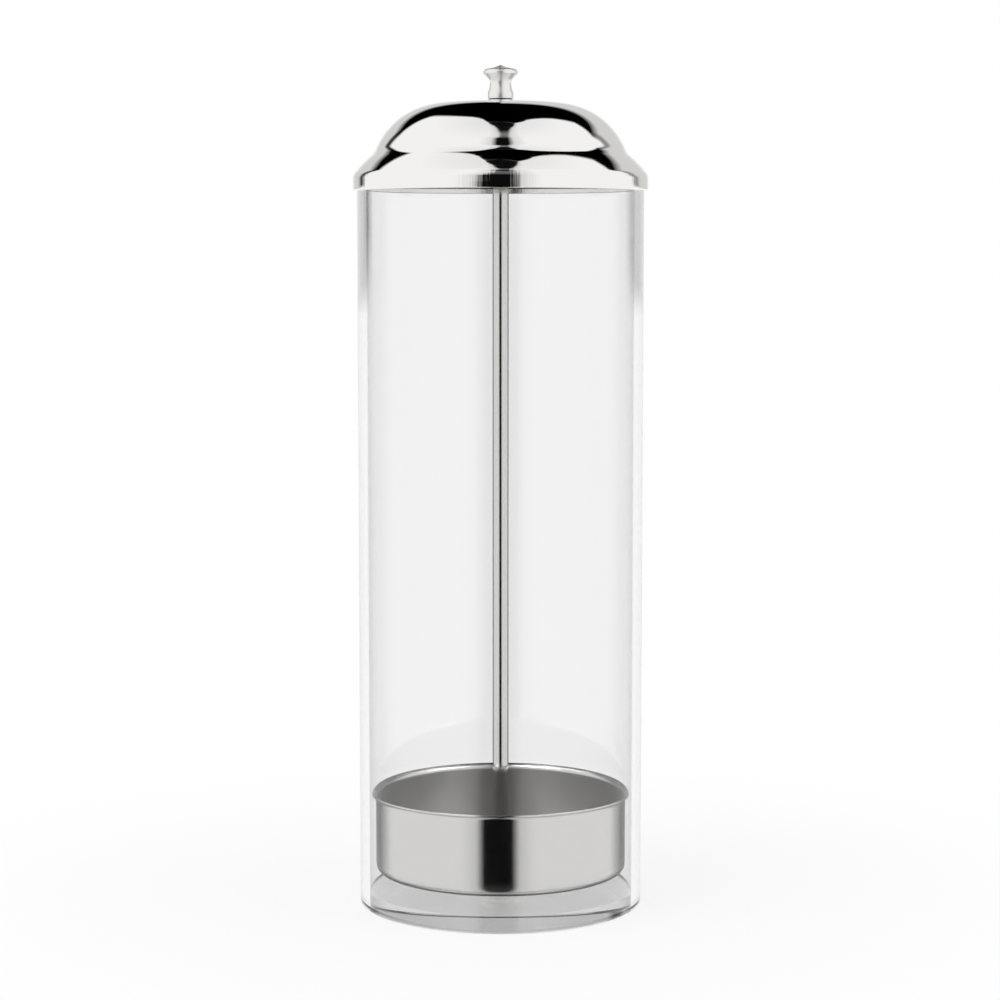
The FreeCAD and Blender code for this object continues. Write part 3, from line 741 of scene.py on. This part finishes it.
def studio_sky():
    """White for what is seen straight or through the clear body. In reflections it is a photographer's room:
    a dark gap in front, white panels on both sides, a dark ceiling and a pale grey wall behind. The panels'
    edges are a ramp's four channels, each in half turns, read at the height over 90 degrees."""
    world = bpy.data.worlds.new("soft_studio")
    bpy.context.scene.world = world
    world.use_nodes = True
    world.cycles.sampling_method = "NONE"
    tree = world.node_tree
    tree.nodes.clear()
    way = add(tree, "ShaderNodeSeparateXYZ", Vector=add(tree, "ShaderNodeTexCoord").outputs["Generated"])
    rays = add(tree, "ShaderNodeLightPath")
    rise = add(tree, "ShaderNodeMath", {"operation": "ARCSINE"}, _0=way.outputs["Z"])
    share = add(tree, "ShaderNodeMath", {"operation": "MULTIPLY", "1": 2 / np.pi}, _0=rise.outputs[0])
    edges = add(tree, "ShaderNodeValToRGB", _0=share.outputs[0])
    stops = edges.color_ramp.elements
    stops.remove(stops[1])
    for index, (height, *row) in enumerate(PANEL_EDGES):
        stop = stops.new(height / 90) if index else stops[0]
        stop.color = [edge / 180 for edge in row]
    split = add(tree, "ShaderNodeSeparateColor", _0=edges.outputs["Color"])
    known = {
        "x": way.outputs["X"], "y": way.outputs["Y"], "rise": rise.outputs[0],
        "red": split.outputs[0], "green": split.outputs[1], "blue": split.outputs[2],
        "alpha": edges.outputs["Alpha"], "mirrors": rays.outputs["Glossy Depth"],
        "passes": rays.outputs["Transmission Depth"], "camera": rays.outputs["Is Camera Ray"],
        "through": rays.outputs["Is Transmission Ray"],
    }
    for name, operation, *values in ROOM:
        settings = {"operation": operation}
        if operation == "RAMP":
            first, last = values[1:]
            settings = {"operation": "MULTIPLY_ADD", "use_clamp": True}
            values = (values[0], 1 / (last - first), -first / (last - first))
        settings.update({str(slot): item for slot, item in enumerate(values) if not isinstance(item, str)})
        links = {f"_{slot}": known[item] for slot, item in enumerate(values) if isinstance(item, str)}
        known[name] = add(tree, "ShaderNodeMath", settings, **links).outputs[0]
    shade = add(tree, "ShaderNodeMix", Factor=known["mirrored"], A=known["plain"], B=known["room"])
    background = add(tree, "ShaderNodeBackground", {"Strength": 1.0}, Color=shade.outputs[0])
    output = tree.nodes.new("ShaderNodeOutputWorld")
    tree.links.new(background.outputs[0], output.inputs["Surface"])


def pale_floor(floor):
    """Pale paper sweep that keeps a faint shadow near the object and fades into the white background between
    50 mm and 250 mm from the axis. It is left out of what metal mirrors."""
    material, tree, output, place = new_material("pale_paper_sweep")
    distance = add(tree, "ShaderNodeVectorMath", {"operation": "LENGTH"}, _0=place)
    fade = add(tree, "ShaderNodeMapRange",
               {"interpolation_type": "SMOOTHSTEP", "From Min": 50 * MM, "From Max": 250 * MM,
                "To Min": 0.15, "To Max": 0.0}, Value=distance.outputs["Value"])
    rays = add(tree, "ShaderNodeLightPath")
    direct = add(tree, "ShaderNodeMath", {"operation": "LESS_THAN", "1": 0.5},
                 _0=rays.outputs["Glossy Depth"])
    share = add(tree, "ShaderNodeMath", {"operation": "MULTIPLY"}, _0=fade.outputs[0], _1=direct.outputs[0])
    paper = add(tree, "ShaderNodeBsdfDiffuse", {"Color": floor})
    clear = add(tree, "ShaderNodeBsdfTransparent")
    both = add(tree, "ShaderNodeMixShader", _0=share.outputs[0], _1=clear.outputs[0], _2=paper.outputs[0])
    tree.links.new(both.outputs[0], output.inputs["Surface"])
    return material


# Name, place in metres and power in watts of each soft lamp
LAMPS = (("key_lamp", (-0.7, -0.5, 1.4), 8.0), ("fill_lamp", (0.9, -0.3, 1.1), 3.5))


class DISPENSER_OT_stage(bpy.types.Operator):
    """Add the floor, the soft light and the camera"""
    bl_idname = "dispenser.stage"
    bl_label = "Stage"

    def execute(self, context):
        settings = context.scene.dispenser_stage
        half = settings.floor_size / 2
        corners = [(-half, -half), (half, -half), (half, half), (-half, half)]
        mesh = bpy.data.meshes.new("floor")
        mesh.from_pydata([(x, y, -settings.floor_drop) for x, y in corners], [], [(0, 1, 2, 3)])
        mesh.materials.append(pale_floor(settings.floor))
        floor = bpy.data.objects.new("floor", mesh)
        context.scene.collection.objects.link(floor)

        for name, place, power in LAMPS:
            lamp = bpy.data.lights.new(name, "AREA")
            lamp.energy = power
            lamp.size = settings.lamp_size
            lit = bpy.data.objects.new(name, lamp)
            lit.location = place
            lit.rotation_euler = (-lit.location).to_track_quat("-Z", "Y").to_euler()
            lit.visible_glossy = False
            lit.visible_camera = False
            context.scene.collection.objects.link(lit)
        studio_sky()

        view = bpy.data.cameras.new("camera")
        view.lens = settings.camera_lens
        camera = bpy.data.objects.new("camera", view)
        camera.location = settings.camera_place
        camera.rotation_euler = (np.pi / 2 - settings.camera_tilt, 0, 0)
        context.scene.collection.objects.link(camera)
        context.scene.camera = camera
        context.scene.view_settings.view_transform = "Standard"
        return {"FINISHED"}


STEPS = (DISPENSER_OT_stage, DISPENSER_OT_clear_body, DISPENSER_OT_lid, DISPENSER_OT_knob, DISPENSER_OT_rod,
         DISPENSER_OT_cup, DISPENSER_OT_fasteners)


class DISPENSER_PT_pieces(bpy.types.Panel):
    """Lists the steps that build the dispenser"""
    bl_idname = "DISPENSER_PT_pieces"
    bl_label = "Straw dispenser"
    bl_space_type = "VIEW_3D"
    bl_region_type = "UI"
    bl_category = "Straw dispenser"

    def draw(self, context):
        for step in STEPS:
            self.layout.operator(step.bl_idname)


def register():
    for group in SETTINGS.values():
        bpy.utils.register_class(group)
    for name, group in SETTINGS.items():
        setattr(bpy.types.Scene, name, PointerProperty(type=group))
    for step in STEPS:
        bpy.utils.register_class(step)
    bpy.utils.register_class(DISPENSER_PT_pieces)


def unregister():
    bpy.utils.unregister_class(DISPENSER_PT_pieces)
    for step in reversed(STEPS):
        bpy.utils.unregister_class(step)
    for name, group in SETTINGS.items():
        delattr(bpy.types.Scene, name)
        bpy.utils.unregister_class(group)


def main():
    """Registers the add-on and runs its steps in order."""
    register()
    bpy.ops.dispenser.stage()
    bpy.ops.dispenser.clear_body()
    bpy.ops.dispenser.lid()
    bpy.ops.dispenser.knob()
    bpy.ops.dispenser.rod()
    bpy.ops.dispenser.cup()
    bpy.ops.dispenser.fasteners()


if __name__ == "__main__":
    main()
